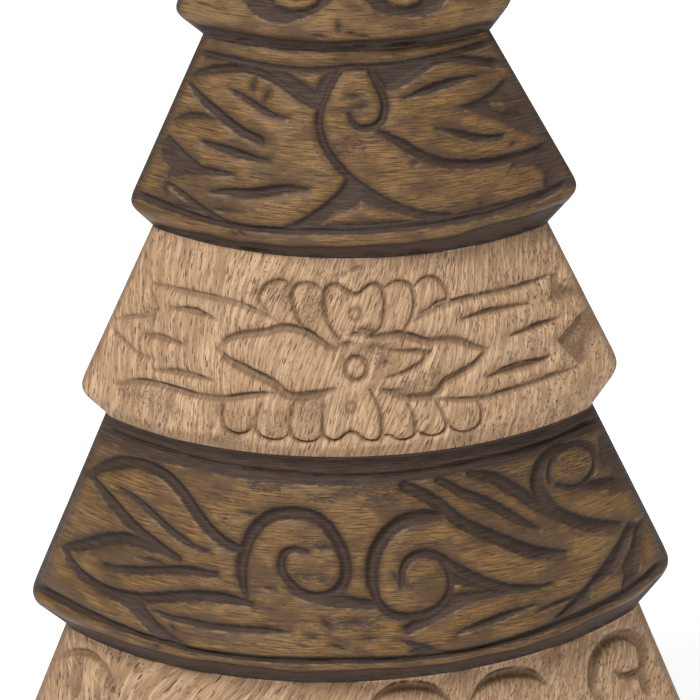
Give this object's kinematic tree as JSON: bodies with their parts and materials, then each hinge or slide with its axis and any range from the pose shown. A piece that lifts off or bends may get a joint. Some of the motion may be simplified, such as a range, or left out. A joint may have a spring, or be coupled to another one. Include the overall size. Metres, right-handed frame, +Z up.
{
  "type": "carved tree figurine",
  "caption": "Tapered tree figurine of five stacked hand-carved wooden tiers with bowed faces, dark rubbed and natural in turn, on a felt-footed base board.",
  "frame": {"origin": "on the floor, at the centre of the base", "axes": "+Z up along the tree's axis, carved front facing -Y, +X to the right of a viewer in front"},
  "size_m": [0.1852, 0.1178, 0.316],
  "materials": {
    "dark_bronze_wood": "dark brown stain with bronze-gold rubbed over the raised carving, satin",
    "natural_wood": "bare sanded mango wood, matt",
    "dowel_wood": "plain birch dowel, matt",
    "felt": "dark pressed felt"
  },
  "bodies": {
    "root": {"top_tier": "dark_bronze_wood", "second_tier": "dark_bronze_wood", "third_tier": "natural_wood", "fourth_tier": "dark_bronze_wood", "bottom_tier": "natural_wood", "left_dowel": "dowel_wood", "right_dowel": "dowel_wood", "base_board": "dark_bronze_wood", "felt_pads": "felt"}
  },
  "joints": []
}
